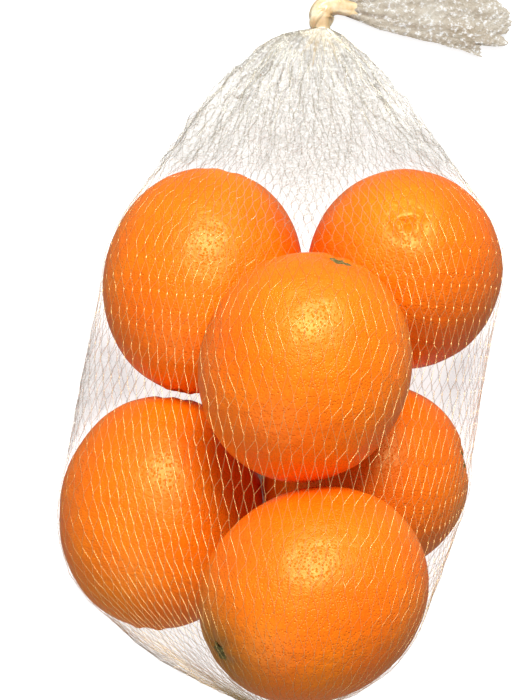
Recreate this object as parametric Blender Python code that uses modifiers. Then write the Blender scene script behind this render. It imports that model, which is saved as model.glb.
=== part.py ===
"""Mesh produce bag: a knotless net sleeve packed with six oranges.

A metal clip closes its bottom and an overhand knot with a flared tail closes its top.
It lies on a flat surface: four oranges on the ground, two on top.

Metres, +Z up. +Y runs from the bottom clip to the knot, and the origin is at the centre of the base.
"""

import math

import bmesh
import bpy
import numpy as np
from mathutils import Matrix, Vector

MM = 0.001

# The oranges (mm): centre, equatorial radius, half length along the stem axis, and where the stem end points.
ORANGES = (
    ((-33.6, 31.0, 40.3), 38.9, 44.4, (0.22, 1.0, -0.14)),
    ((44.7, 35.2, 44.2), 37.9, 42.6, (0.03, -0.39, -0.92)),
    ((5.0, -2.2, 103.0), 39.0, 42.6, (0.31, 0.93, 0.20)),
    ((-50.2, -58.8, 41.2), 39.4, 45.6, (0.10, 1.0, -0.15)),
    ((29.8, -46.0, 39.5), 37.8, 40.3, (0.97, 0.20, 0.12)),
    ((8.2, -84.9, 105.4), 38.2, 43.8, (-0.81, -0.45, 0.37)),
)
STEM_DIMPLE_DEPTH = 2.6
STEM_DIMPLE_RADIUS = 6.5
NAVEL_DEPTH = 1.6
NAVEL_RADIUS = 4.0
ORANGE_SEGMENTS = 26
ORANGE_ROWS = 15

# The calyx is the five-lobed green star left in each stem dimple.
CALYX_RADIUS = 4.2
CALYX_THICKNESS = 1.1
CALYX_LOBES = 5
CALYX_GAP = 0.3

# The net, drawn as a thin continuous wall over the oranges.
NET_CLEARANCE = 1.15
NET_SPARE = 0.5
NET_WALL = 0.6
NET_AROUND = 52
PART_GAP = 0.3

# Where the slack neck of the net spreads out between the oranges and the knot: half outline points (mm).
LEFT_SHOULDER = ((-64.1, 58.6, 34.0), (-54.9, 72.7, 22.0), (-51.5, 80.8, 14.0), (-42.2, 95.7, 8.0),
                 (-37.4, 102.6, 7.0), (-26.5, 113.5, 6.0), (-11.9, 127.2, 5.0), (-2.4, 132.8, 4.0))
RIGHT_SHOULDER = ((73.0, 64.4, 34.0), (68.9, 74.0, 20.0), (64.8, 84.0, 12.0),
                  (58.8, 92.5, 8.0), (53.1, 100.2, 7.0), (41.8, 112.3, 6.0),
                  (34.1, 121.2, 5.0), (24.4, 128.8, 4.0), (21.0, 132.8, 4.0))
SAG_START_Y = 32.0
SAG_END_Y = 112.0
SAG_KEEP = 0.42
NECK_LEAST_HEIGHT = 10.0

# The neck turns about the top edge of this cut.
NECK_CUT_Y = 104.0
NECK_CUT_GAP = 0.8
NECK_END_Y = 132.4
NECK_STATIONS = 8
# Each stretch of the sleeve's length, as where it ends and how many steps it takes.
SLEEVE_STRETCHES = ((-108.0, 9), (44.0, 19), (80.0, 8), (NECK_CUT_Y, 3))

# The overhand knot.
KNOT_CENTRE = (13.4, 139.0, 6.2)
KNOT_LOBE = 1.5
KNOT_LIFT = 1.55
KNOT_TUBE = 1.2
KNOT_SPIN_DEG = -75.0
KNOT_LOOP_DEG = (80.0, 400.0)
KNOT_LOOP_POINTS = 25
KNOT_ENTRY = (13.4, 133.9, 6.6)
KNOT_EXIT = ((17.5, 138.2, 3.9), (18.2, 140.2, 3.4), (18.3, 142.2, 3.2))

# The tail beyond the knot: a short stem that swings, and a ragged fan that lifts.
TAIL_AXIS = (23.0, 142.0)
STEM_ROOT_RADIUS = 3.2
TAIL_BOTTOM = 0.6
TAIL_TOP = 3.2
STEM_OUTLINE = ((37.0, 133.6), (46.9, 131.0), (46.9, 148.2), (35.0, 146.4))
FAN_OUTLINE = ((47.2, 130.9), (60.0, 128.0), (69.3, 124.9), (78.0, 121.4), (76.6, 126.4), (88.4, 127.2),
               (86.8, 132.6), (89.6, 134.6), (90.0, 138.2), (88.3, 142.3), (83.4, 146.6), (76.8, 151.6),
               (70.5, 150.4), (64.0, 151.9), (55.0, 149.6), (47.2, 148.2))

# The bottom closure.
CLOSURE_X = -5.5
CLOSURE_Z = 31.0
SLEEVE_END_Y = -138.6
SLEEVE_END_RADIUS = 4.4
GATHER_RADIUS = 2.7
GATHER_ROOT_RADIUS = 3.8
CLIP_Y = -143.0
CLIP_WIRE = 0.95
CLIP_GAP_DEG = 24.0
TUFT_END_Y = -152.0
TUFT_RADIUS = 6.4
TUFT_LOBES = 8


def clear_file():
    for obj in list(bpy.data.objects):
        bpy.data.objects.remove(obj, do_unlink=True)
    for mesh in list(bpy.data.meshes):
        bpy.data.meshes.remove(mesh)


def material(name, color, roughness, metallic=0.0, coat=0.0):
    mat = bpy.data.materials.new(name)
    mat.use_nodes = True
    shader = mat.node_tree.nodes["Principled BSDF"]
    shader.inputs["Base Color"].default_value = (*color, 1.0)
    shader.inputs["Roughness"].default_value = roughness
    shader.inputs["Metallic"].default_value = metallic
    shader.inputs["Coat Weight"].default_value = coat
    mat.diffuse_color = (*color, 1.0)
    return mat


def add_object(name, mesh, mat, collection):
    obj = bpy.data.objects.new(name, mesh)
    collection.objects.link(obj)
    mesh.materials.clear()
    mesh.materials.append(mat)
    return obj


def mesh_of(name, points, faces):
    mesh = bpy.data.meshes.new(name)
    mesh.from_pydata([tuple(float(v) for v in p) for p in points], [], [tuple(f) for f in faces])
    mesh.update()
    return mesh


def outward(mesh):
    """Turns every face of a closed mesh outward."""
    bm = bmesh.new()
    bm.from_mesh(mesh)
    bmesh.ops.recalc_face_normals(bm, faces=bm.faces)
    bm.to_mesh(mesh)
    bm.free()


def applied(obj):
    """The object's mesh with its modifiers applied, facing out."""
    graph = bpy.context.evaluated_depsgraph_get()
    mesh = bpy.data.meshes.new_from_object(obj.evaluated_get(graph))
    old = obj.data
    obj.modifiers.clear()
    obj.data = mesh
    mesh.name = obj.name
    bpy.data.meshes.remove(old)
    outward(mesh)
    return obj


def revolved(name, profile, segments, mat, collection):
    """A profile of (radius, height) pairs in mm, turned about the object's own Z axis."""
    points = [(r * MM, 0.0, z * MM) for r, z in profile]
    edges = [(i, i + 1) for i in range(len(points) - 1)]
    mesh = bpy.data.meshes.new(name)
    mesh.from_pydata(points, edges, [])
    obj = add_object(name, mesh, mat, collection)
    screw = obj.modifiers.new("turn", "SCREW")
    screw.axis = "Z"
    screw.angle = math.tau
    screw.steps = segments
    screw.render_steps = segments
    screw.use_merge_vertices = True
    screw.merge_threshold = 0.00001
    return applied(obj)


def extruded(name, outline, bottom, top, mat, collection):
    """A flat outline in mm, raised from one height to another."""
    n = len(outline)
    points = [(x * MM, y * MM, z * MM) for z in (bottom, top) for x, y in outline]
    faces = [tuple(range(n))[::-1], tuple(range(n, 2 * n))]
    faces += [(i, (i + 1) % n, n + (i + 1) % n, n + i) for i in range(n)]
    obj = add_object(name, mesh_of(name, points, faces), mat, collection)
    outward(obj.data)
    return obj


def smoothstep(low, high, value):
    t = min(max((value - low) / (high - low), 0.0), 1.0)
    return t * t * (3.0 - 2.0 * t)


def orange_profile(radius, half_length):
    """From the centre of the stem dimple, over the outside, to the centre of the navel."""
    profile = []
    for i in range(ORANGE_ROWS + 1):
        angle = math.pi * i / ORANGE_ROWS
        r = radius * math.sin(angle) ** 0.96 if 0 < i < ORANGE_ROWS else 0.0
        z = half_length * math.cos(angle)
        profile.append([r, z])
    dimple = [(0.0, 1.0), (0.5, 0.82), (1.0, 0.3)]
    navel = [(1.0, 0.25), (0.55, 0.9), (0.0, 1.0)]
    top = [[STEM_DIMPLE_RADIUS * r, half_length - STEM_DIMPLE_DEPTH * d] for r, d in dimple]
    low = [[NAVEL_RADIUS * r, -half_length + NAVEL_DEPTH * d] for r, d in navel]
    body = [p for p in profile if p[0] > (STEM_DIMPLE_RADIUS if p[1] > 0 else NAVEL_RADIUS) * 1.25]
    return [tuple(p) for p in top + body + low]


def calyx_mesh(name, half_length):
    """A five-lobed star, domed to a small button, that floats just over the floor of the dimple."""
    base = half_length - STEM_DIMPLE_DEPTH + CALYX_GAP + 0.9
    count = CALYX_LOBES * 4
    ring = []
    for i in range(count):
        angle = math.tau * i / count
        r = CALYX_RADIUS * (0.74 + 0.26 * math.cos(CALYX_LOBES * angle))
        ring.append((r * math.cos(angle), r * math.sin(angle)))
    points = [(x * MM, y * MM, base * MM) for x, y in ring]
    points += [(x * 0.9 * MM, y * 0.9 * MM, (base + CALYX_THICKNESS * 0.6) * MM) for x, y in ring]
    points += [(x * 0.4 * MM, y * 0.4 * MM, (base + CALYX_THICKNESS) * MM) for x, y in ring]
    faces = [tuple(range(count))[::-1], tuple(range(2 * count, 3 * count))]
    for row in range(2):
        near, far = row * count, (row + 1) * count
        faces += [(near + i, near + (i + 1) % count, far + (i + 1) % count, far + i) for i in range(count)]
    mesh = mesh_of(name, points, faces)
    outward(mesh)
    return mesh


def place_on_axis(obj, centre, axis):
    """Puts the object's origin at a point in mm, with its own Z along axis."""
    turn = Vector(axis).normalized().to_track_quat("Z", "Y").to_matrix().to_4x4()
    obj.matrix_world = Matrix.Translation(Vector(centre) * MM) @ turn


def build_oranges(collection, peel, green):
    for number, (centre, radius, half_length, axis) in enumerate(ORANGES, start=1):
        name = f"orange_{number}"
        fruit = revolved(name, orange_profile(radius, half_length), ORANGE_SEGMENTS, peel, collection)
        place_on_axis(fruit, centre, axis)
        calyx = add_object(f"{name}_calyx", calyx_mesh(f"{name}_calyx", half_length), green, collection)
        place_on_axis(calyx, centre, axis)


def ellipsoid_points(centre, radius, half_length, axis, grow):
    """Points all over one orange, grown outward by grow."""
    turn = np.array(Vector(axis).normalized().to_track_quat("Z", "Y").to_matrix())
    rows, around = 40, 72
    points = []
    for i in range(rows + 1):
        polar = math.pi * i / rows
        for j in range(around):
            angle = math.tau * j / around
            unit = np.array([
                math.sin(polar) * math.cos(angle),
                math.sin(polar) * math.sin(angle),
                math.cos(polar),
            ])
            local = unit * np.array([radius + grow, radius + grow, half_length + grow])
            points.append(turn @ local + np.array(centre))
    return points


def ring_points(centre, radius, count):
    """A circle about Y."""
    x, y, z = centre
    steps = [math.tau * i / count for i in range(count)]
    return [np.array([x + radius * math.cos(a), y, z + radius * math.sin(a)]) for a in steps]


def envelope():
    """Triangles of the tight skin around the grown oranges, the closure and the neck's shoulders, in mm."""
    grow = NET_CLEARANCE + NET_WALL
    points = []
    for centre, radius, half_length, axis in ORANGES:
        points += ellipsoid_points(centre, radius, half_length, axis, grow)
    points += ring_points((CLOSURE_X, SLEEVE_END_Y - 0.2, CLOSURE_Z), SLEEVE_END_RADIUS, 32)
    for x, y, z in LEFT_SHOULDER + RIGHT_SHOULDER:
        points.append(np.array([x, y, z]))
        points.append(np.array([x * 0.985, y, 0.0]))
    points += [np.array([x, NECK_END_Y + 0.4, NECK_LEAST_HEIGHT]) for x in (6.0, 16.0)]
    bm = bmesh.new()
    for p in points:
        p[2] = max(p[2], 0.0)
        bm.verts.new(p)
    bmesh.ops.convex_hull(bm, input=bm.verts)
    bmesh.ops.delete(bm, geom=[v for v in bm.verts if not v.link_faces], context="VERTS")
    bmesh.ops.triangulate(bm, faces=bm.faces)
    triangles = np.array([[v.co[:] for v in f.verts] for f in bm.faces])
    bm.free()
    return triangles


def crossing_points(triangles, y):
    """Where the envelope's edges pass one station, as (x, z)."""
    above = triangles[:, :, 1] > y
    found = []
    for tri in triangles[above.any(axis=1) & ~above.all(axis=1)]:
        for a, b in ((0, 1), (1, 2), (2, 0)):
            if (tri[a, 1] > y) != (tri[b, 1] > y):
                t = (y - tri[a, 1]) / (tri[b, 1] - tri[a, 1])
                found.append(tri[a] + t * (tri[b] - tri[a]))
    return np.array(found)[:, [0, 2]]


def orange_slice(centre, radius, half_length, axis, y):
    """One grown orange cut across at a station, as (x, z) points, or none where it isn't reached."""
    turn = np.array(Vector(axis).normalized().to_track_quat("Z", "Y").to_matrix())
    grow = NET_CLEARANCE + NET_WALL + NET_SPARE * smoothstep(SAG_START_Y, SAG_START_Y + 20.0, y)
    half = np.array([radius + grow, radius + grow, half_length + grow])
    form = turn @ np.diag(1.0 / half**2) @ turn.T
    across = form[np.ix_([0, 2], [0, 2])]
    mixed = form[[0, 2], 1]
    step = y - centre[1]
    inverse = np.linalg.inv(across)
    left = 1.0 - form[1, 1] * step**2 + step**2 * mixed @ inverse @ mixed
    if left <= 0.0:
        return np.zeros((0, 2))
    middle = np.array([centre[0], centre[2]]) - inverse @ mixed * step
    angles = np.linspace(0.0, math.tau, 90, endpoint=False)
    circle = np.stack([np.cos(angles), np.sin(angles)])
    lower = np.linalg.cholesky(across)
    return (middle[:, None] + math.sqrt(left) * np.linalg.solve(lower.T, circle)).T


def hull_2d(points):
    """The convex outline of points, anticlockwise."""
    ordered = sorted({(round(float(x), 6), round(float(z), 6)) for x, z in points})
    halves = []
    for run in (ordered, ordered[::-1]):
        chain = []
        for p in run:
            while len(chain) > 1:
                (ax, az), (bx, bz) = chain[-2:]
                if (bx - ax) * (p[1] - az) - (bz - az) * (p[0] - ax) > 0.0:
                    break
                chain.pop()
            chain.append(p)
        halves.append(chain[:-1])
    return np.array(halves[0] + halves[1])


def sag_at(points, y):
    """The slack net hangs lower than a taut one between the upper orange and the knot."""
    keep = 1.0 - (1.0 - SAG_KEEP) * smoothstep(SAG_START_Y, SAG_END_Y, y)
    least = NECK_LEAST_HEIGHT / max(points[:, 1].max(), NECK_LEAST_HEIGHT)
    return points * np.array([1.0, max(keep, least)])


def section(triangles, y):
    """The net's outline at one station, as evenly spaced (x, z) points from its lowest middle point."""
    points = [sag_at(crossing_points(triangles, y), y)]
    points += [orange_slice(*orange, y) for orange in ORANGES]
    points = np.vstack(points)
    points[:, 1] = np.maximum(points[:, 1], 0.0)
    outline = hull_2d(points)
    loop = np.vstack([outline, outline[:1]])
    along = np.concatenate([[0.0], np.cumsum(np.linalg.norm(np.diff(loop, axis=0), axis=1))])
    middle = (outline[:, 0].min() + outline[:, 0].max()) / 2
    fine = np.linspace(0.0, along[-1], 2000, endpoint=False)
    x, z = (np.interp(fine, along, loop[:, k]) for k in range(2))
    low = z < z.min() + 0.5 * (z.max() - z.min())
    start = fine[low][np.argmin(np.abs(x[low] - middle))]
    at = (start + np.linspace(0.0, along[-1], NET_AROUND, endpoint=False)) % along[-1]
    return np.stack([np.interp(at, along, loop[:, k]) for k in range(2)], axis=1)


def station_ring(triangles, y):
    return [(x, y, z) for x, z in section(triangles, y)]


def circle_ring(centre, radius):
    """A ring that starts at its lowest point, to match a station."""
    x, y, z = centre
    steps = [-math.pi / 2 + math.tau * i / NET_AROUND for i in range(NET_AROUND)]
    return [(x + radius * math.cos(a), y, z + radius * math.sin(a)) for a in steps]


def shell(name, rings, mat, collection):
    """A tube lofted through rings, given the net's thickness inward."""
    n = NET_AROUND
    points = [(x * MM, y * MM, z * MM) for ring in rings for x, y, z in ring]
    faces = []
    for row in range(len(rings) - 1):
        for i in range(n):
            j = (i + 1) % n
            faces.append((row * n + i, (row + 1) * n + i, (row + 1) * n + j, row * n + j))
    obj = add_object(name, mesh_of(name, points, faces), mat, collection)
    wall = obj.modifiers.new("wall", "SOLIDIFY")
    wall.thickness = NET_WALL * MM
    wall.offset = -1.0
    wall.use_even_offset = False
    return applied(obj)


def sleeve_stations():
    """Stations from the closure to the neck's cut, closer together where the outline turns fastest."""
    stations = [SLEEVE_END_Y]
    for end, count in SLEEVE_STRETCHES:
        stations += list(np.linspace(stations[-1], end, count + 1)[1:])
    return stations


def build_net(collection, net):
    skin = envelope()
    rings = [circle_ring((CLOSURE_X, SLEEVE_END_Y, CLOSURE_Z), SLEEVE_END_RADIUS)]
    rings += [station_ring(skin, y) for y in sleeve_stations()[1:]]
    shell("net_sleeve", rings, net, collection)
    stations = np.linspace(NECK_CUT_Y + NECK_CUT_GAP, NECK_END_Y, NECK_STATIONS)
    rings = [station_ring(skin, y) for y in stations]
    x, y, z = KNOT_ENTRY
    rings.append(circle_ring((x, y - PART_GAP, z), 3.2))
    shell("net_neck", rings, net, collection)


def smooth_path(points, steps):
    """A Catmull-Rom curve through the points."""
    p = np.array(points, float)
    p = np.vstack([2 * p[0] - p[1], p, 2 * p[-1] - p[-2]])
    out = []
    for i in range(1, len(p) - 2):
        a, b, c, d = p[i - 1 : i + 3]
        for s in range(steps):
            t = s / steps
            bend = (2 * a - 5 * b + 4 * c - d) * t * t + (3 * b - a - 3 * c + d) * t**3
            out.append(0.5 * (2 * b + (c - a) * t + bend))
    out.append(p[-2])
    return np.array(out)


def knot_path():
    """An overhand knot: in from the neck, round its lobes, and out under its own start to the tail."""
    centre = np.array(KNOT_CENTRE)
    spin = math.radians(KNOT_SPIN_DEG)
    turn = np.array(Matrix.Rotation(spin, 3, "Z"))
    points = [KNOT_ENTRY]
    for degrees in np.linspace(*KNOT_LOOP_DEG, KNOT_LOOP_POINTS):
        t = math.radians(degrees)
        local = np.array([
            KNOT_LOBE * (math.sin(t) + 2 * math.sin(2 * t)),
            KNOT_LOBE * (math.cos(t) - 2 * math.cos(2 * t)),
            -KNOT_LIFT * math.sin(3 * t),
        ])
        points.append(centre + turn @ local)
    return points + list(KNOT_EXIT)


def tube(name, path, radius, mat, collection):
    curve = bpy.data.curves.new(name, "CURVE")
    curve.dimensions = "3D"
    curve.bevel_depth = radius * MM
    curve.bevel_resolution = 3
    curve.use_fill_caps = True
    spline = curve.splines.new("POLY")
    spline.points.add(len(path) - 1)
    for point, co in zip(spline.points, path):
        point.co = (co[0] * MM, co[1] * MM, co[2] * MM, 1.0)
    holder = bpy.data.objects.new(f"{name}_curve", curve)
    collection.objects.link(holder)
    graph = bpy.context.evaluated_depsgraph_get()
    mesh = bpy.data.meshes.new_from_object(holder.evaluated_get(graph))
    bpy.data.objects.remove(holder, do_unlink=True)
    bm = bmesh.new()
    bm.from_mesh(mesh)
    bmesh.ops.remove_doubles(bm, verts=bm.verts, dist=0.000001)
    bmesh.ops.recalc_face_normals(bm, faces=bm.faces)
    bm.to_mesh(mesh)
    bm.free()
    mesh.name = name
    return add_object(name, mesh, mat, collection)


def build_knot(collection, net):
    path = smooth_path(knot_path(), 2)
    return tube("top_knot", path, KNOT_TUBE, net, collection)


def build_tail(collection, net):
    """The stem has a round root on its swing axis, and the fan ends in ragged lobes."""
    x, y = TAIL_AXIS
    root = []
    for i in range(9):
        angle = math.radians(260.0 - 170.0 * i / 8)
        root.append((x + STEM_ROOT_RADIUS * math.cos(angle), y + STEM_ROOT_RADIUS * math.sin(angle)))
    outline = root + list(STEM_OUTLINE[::-1])
    stem = extruded("tail_stem", outline, TAIL_BOTTOM, TAIL_TOP, net, collection)
    fan = extruded("tail_fan", FAN_OUTLINE, TAIL_BOTTOM, TAIL_TOP, net, collection)
    for obj in (stem, fan):
        bevel = obj.modifiers.new("soft", "BEVEL")
        bevel.width = 0.5 * MM
        bevel.segments = 2
        bevel.limit_method = "ANGLE"
        bevel.angle_limit = math.radians(60.0)
        applied(obj)
    return stem, fan


def build_closure(collection, net, metal):
    """The gathered end of the net, the wire clip around it and the frayed tuft beyond it."""
    x, z = CLOSURE_X, CLOSURE_Z
    start, end = SLEEVE_END_Y - PART_GAP, TUFT_END_Y + 6.2
    length = start - end
    profile = [(0.0, 0.0), (GATHER_ROOT_RADIUS, 0.0), (GATHER_RADIUS + 0.35, -1.6), (GATHER_RADIUS, -2.6),
               (GATHER_RADIUS, -length), (0.0, -length)]
    gather = revolved("bottom_gather", profile, 28, net, collection)
    place_on_axis(gather, (x, start, z), (0.0, 1.0, 0.0))
    half_gap = math.radians(CLIP_GAP_DEG) / 2
    clip_radius = GATHER_RADIUS + PART_GAP + CLIP_WIRE
    steps = [half_gap + (math.tau - 2 * half_gap) * i / 30 for i in range(31)]
    path = [(x + clip_radius * math.sin(a), CLIP_Y, z + clip_radius * math.cos(a)) for a in steps]
    tube("bottom_clip", path, CLIP_WIRE, metal, collection)
    count = TUFT_LOBES * 4
    rings = []
    for y, radius, ragged in (
        (end - PART_GAP, GATHER_RADIUS, 0.0),
        (end - 2.2, 3.4, 0.0),
        (end - 4.2, 5.0, 0.4),
        (TUFT_END_Y + 0.9, TUFT_RADIUS, 1.0),
    ):
        ring = []
        for i in range(count):
            angle = math.tau * i / count
            wave = math.cos(TUFT_LOBES * angle)
            r = radius * (1.0 + 0.08 * ragged * wave)
            ring.append((x + r * math.cos(angle), y - 0.9 * ragged * wave, z + r * math.sin(angle)))
        rings.append(ring)
    points = [(px * MM, py * MM, pz * MM) for ring in rings for px, py, pz in ring]
    points.append((x * MM, (TUFT_END_Y + 2.4) * MM, z * MM))
    faces = [tuple(range(count))]
    for row in range(len(rings) - 1):
        faces += [(row * count + i, row * count + (i + 1) % count, (row + 1) * count + (i + 1) % count,
                   (row + 1) * count + i) for i in range(count)]
    last = (len(rings) - 1) * count
    faces += [(last + i, last + (i + 1) % count, len(points) - 1) for i in range(count)]
    tuft = add_object("bottom_tuft", mesh_of("bottom_tuft", points, faces), net, collection)
    outward(tuft.data)


def build():
    clear_file()
    collection = bpy.data.collections.new("mesh_produce_bag")
    bpy.context.scene.collection.children.link(collection)
    net = material("net_film", (0.90, 0.84, 0.70), 0.35)
    knot_net = material("net_knot", (0.88, 0.81, 0.66), 0.25)
    peel = material("orange_peel", (0.90, 0.32, 0.03), 0.38)
    green = material("calyx_green", (0.18, 0.24, 0.07), 0.7)
    metal = material("clip_aluminium", (0.78, 0.79, 0.80), 0.35, metallic=1.0)
    build_oranges(collection, peel, green)
    build_net(collection, net)
    build_knot(collection, knot_net)
    build_tail(collection, net)
    build_closure(collection, net, metal)


build()
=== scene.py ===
"""Looks of the mesh produce bag: real net strands, oranges with pores and calyxes, the knot, tail and clip.

Lengths in the constants are millimetres. +Y runs from the bottom clip to the knot, +Z is up.
"""

import math

import bpy
import numpy as np
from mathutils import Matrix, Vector


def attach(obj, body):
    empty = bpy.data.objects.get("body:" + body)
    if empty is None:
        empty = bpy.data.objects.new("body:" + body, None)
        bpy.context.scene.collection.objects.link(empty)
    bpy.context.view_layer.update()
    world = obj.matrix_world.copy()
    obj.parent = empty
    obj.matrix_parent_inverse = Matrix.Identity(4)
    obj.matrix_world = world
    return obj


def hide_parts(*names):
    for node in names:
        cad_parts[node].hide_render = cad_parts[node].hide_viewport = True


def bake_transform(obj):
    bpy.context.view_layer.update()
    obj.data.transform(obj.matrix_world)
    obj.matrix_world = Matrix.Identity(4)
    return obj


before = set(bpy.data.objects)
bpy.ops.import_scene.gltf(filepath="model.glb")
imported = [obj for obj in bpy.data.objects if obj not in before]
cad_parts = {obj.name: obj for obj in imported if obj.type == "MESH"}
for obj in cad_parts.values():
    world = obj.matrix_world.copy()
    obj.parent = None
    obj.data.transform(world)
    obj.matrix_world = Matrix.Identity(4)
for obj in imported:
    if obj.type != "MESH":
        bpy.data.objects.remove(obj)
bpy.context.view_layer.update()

MM = 0.001
RNG = np.random.default_rng(7)

# Centre, equatorial radius, half length and stem direction of each orange, as packed.
ORANGES = (
    ((-33.6, 31.0, 40.3), 38.9, 44.4, (0.22, 1.0, -0.14)),
    ((44.7, 35.2, 44.2), 37.9, 42.6, (0.03, -0.39, -0.92)),
    ((5.0, -2.2, 103.0), 39.0, 42.6, (0.31, 0.93, 0.20)),
    ((-50.2, -58.8, 41.2), 39.4, 45.6, (0.10, 1.0, -0.15)),
    ((29.8, -46.0, 39.5), 37.8, 40.3, (0.97, 0.20, 0.12)),
    ((8.2, -84.9, 105.4), 38.2, 43.8, (-0.81, -0.45, 0.37)),
)

ORANGE_RINGS = 112
ORANGE_AROUND = 160
STEM_DIMPLE = 2.5
# Oranges whose skin is olive brown round the stem, how much, and how far it reaches.
STEM_TINT = {6: 0.85}
STEM_TINT_REACH = 21.0
OLIVE_BROWN = (0.30, 0.14, 0.008)
# Painted orange light from the fruit: the strands' colour where they lie over the fruit.
FRUIT_LIGHT_PEACH = (1.0, 0.72, 0.30)
# The two lower oranges are pressed flat against each other (number: neighbour).
PRESSED = {4: 5, 5: 4}
CONTACT_GAP = 0.3

# The net: strands in each family, rows of knots from the knot to the clip, and the length of one bar.
STRANDS = 92
STEEP_SHARE = 0.45
ROWS = 58
BAR = 6.6
BAR_RADIUS = 0.10
DASH_RADIUS = 0.25
DASH_HALF = 0.8
TUBE_SIDES = 4
RELAX_STEPS = 200
# Least distance of the knots from the fruit and from the ground, and of the strands' skin from the ground.
LIFT = 0.55
GROUND_LIFT = 0.35
STRAND_LOWEST = 0.05
# Where the slack net bunches into frosted film: place, reach and how thick.
FROST_ZONES = (
    ((8.0, 108.0, 8.0), 46.0, 1.0),
    ((-30.0, 88.0, 20.0), 30.0, 1.0),
    ((48.0, 84.0, 20.0), 30.0, 1.0),
    ((6.0, 72.0, 45.0), 34.0, 1.0),
    ((6.0, 56.0, 72.0), 40.0, 1.0),
    ((-80.0, -14.0, 28.0), 36.0, 0.9),
    ((74.0, -12.0, 28.0), 26.0, 0.6),
    ((-54.0, -112.0, 14.0), 32.0, 0.25),
    ((-8.0, -134.0, 24.0), 22.0, 0.15),
)
# Where the net stands off the straight span between the oranges: place, reach and shift.
NET_PULLS = (
    ((-80.0, -12.0, 25.0), 26.0, (-2.6, 0.0, 0.0)),
    ((74.0, -14.0, 25.0), 26.0, (-1.8, 0.0, 0.0)),
    ((-52.0, -112.0, 16.0), 30.0, (-5.0, -6.0, -3.0)),
)
KNOT_ENTRY = (13.4, 133.6, 5.6)
CLOSURE = (-5.5, -139.4, 31.0)
TUFT_END = -153.0


def smoothstep(low, high, value):
    t = np.clip((value - low) / (high - low), 0.0, 1.0)
    return t * t * (3.0 - 2.0 * t)


def axis_frame(axis):
    """Columns are the local X, Y and Z of something whose Z points along axis."""
    return np.array(Vector(axis).normalized().to_track_quat("Z", "Y").to_matrix())


def mesh_object(name, points, quads, mat):
    """A mesh from points in mm and faces of four corners (or three, with the last one repeated)."""
    points, quads = np.asarray(points, float) * MM, np.asarray(quads, np.int32)
    sizes = np.where(quads[:, 2] == quads[:, 3], 3, 4)
    mesh = bpy.data.meshes.new(name)
    mesh.vertices.add(len(points))
    mesh.vertices.foreach_set("co", points.astype(np.float32).ravel())
    keep = np.ones(quads.shape, bool)
    keep[:, 3] = sizes == 4
    mesh.loops.add(int(sizes.sum()))
    mesh.loops.foreach_set("vertex_index", quads[keep])
    mesh.polygons.add(len(quads))
    starts = np.concatenate([[0], np.cumsum(sizes)[:-1]])
    mesh.polygons.foreach_set("loop_start", starts.astype(np.int32))
    mesh.polygons.foreach_set("use_smooth", np.full(len(quads), True))
    mesh.update(calc_edges=True)
    mesh.validate()
    mesh.materials.append(mat)
    obj = bpy.data.objects.new(name, mesh)
    bpy.context.scene.collection.objects.link(obj)
    return obj


def set_attribute(obj, name, values):
    """Stores one number for each point, for the material to read."""
    layer = obj.data.attributes.new(name, "FLOAT", "POINT")
    layer.data.foreach_set("value", np.asarray(values, np.float32))


def grid_quads(rows, columns):
    """Faces of a grid of points, closed round its columns."""
    r, c = np.meshgrid(np.arange(rows - 1), np.arange(columns), indexing="ij")
    n = (c + 1) % columns
    this, following = r * columns, (r + 1) * columns
    return np.stack([this + c, this + n, following + n, following + c], axis=-1).reshape(-1, 4)


# ---------------------------------------------------------------- materials


def new_material(name):
    mat = bpy.data.materials.new(name)
    mat.use_nodes = True
    nodes, links = mat.node_tree.nodes, mat.node_tree.links
    return mat, nodes, links, nodes["Principled BSDF"]


def texture(nodes, links, kind, scale, **settings):
    """A texture node in the piece's own coordinates."""
    where = nodes.new("ShaderNodeTexCoord")
    tex = nodes.new(kind)
    links.new(where.outputs["Object"], tex.inputs["Vector"])
    tex.inputs["Scale"].default_value = scale
    for key, value in settings.items():
        tex.inputs[key].default_value = value
    return tex


def ramp(nodes, links, source, stops):
    node = nodes.new("ShaderNodeValToRGB")
    elements = node.color_ramp.elements
    while len(elements) < len(stops):
        elements.new(0.5)
    for element, (position, color) in zip(elements, stops):
        element.position = position
        element.color = (*color, 1.0)
    links.new(source, node.inputs["Fac"])
    return node


def bump(nodes, links, height, distance, strength, under=None):
    node = nodes.new("ShaderNodeBump")
    node.inputs["Distance"].default_value = distance
    node.inputs["Strength"].default_value = strength
    links.new(height, node.inputs["Height"])
    if under is not None:
        links.new(under, node.inputs["Normal"])
    return node.outputs["Normal"]


def blended(nodes, links, attribute, base, tint):
    """A colour that turns to tint where the piece's attribute is 1."""
    where = nodes.new("ShaderNodeAttribute")
    where.attribute_name = attribute
    mix = nodes.new("ShaderNodeMix")
    mix.data_type = "RGBA"
    links.new(where.outputs["Fac"], mix.inputs["Factor"])
    links.new(base, mix.inputs[6])
    mix.inputs[7].default_value = (*tint, 1.0)
    return mix.outputs[2]


def net_material(name, light, dark):
    """Thin drawn film: nearly clear, with a satin glint along each strand that faces the light."""
    mat, nodes, links, shader = new_material(name)
    cloud = texture(nodes, links, "ShaderNodeTexNoise", 160.0, Detail=3.0)
    tone = ramp(nodes, links, cloud.outputs["Fac"], ((0.35, dark), (0.65, light)))
    # Where the strands lie over the fruit their colour turns peach: painted orange light from the fruit.
    color = blended(nodes, links, "fruit_light_share", tone.outputs["Color"], FRUIT_LIGHT_PEACH)
    links.new(color, shader.inputs["Base Color"])
    grain = texture(nodes, links, "ShaderNodeTexNoise", 1500.0, Detail=2.0)
    links.new(bump(nodes, links, grain.outputs["Fac"], 0.00012, 0.5), shader.inputs["Normal"])
    shader.inputs["Roughness"].default_value = 0.28
    shader.inputs["Metallic"].default_value = 0.8
    shader.inputs["Alpha"].default_value = 0.24
    return mat


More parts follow.
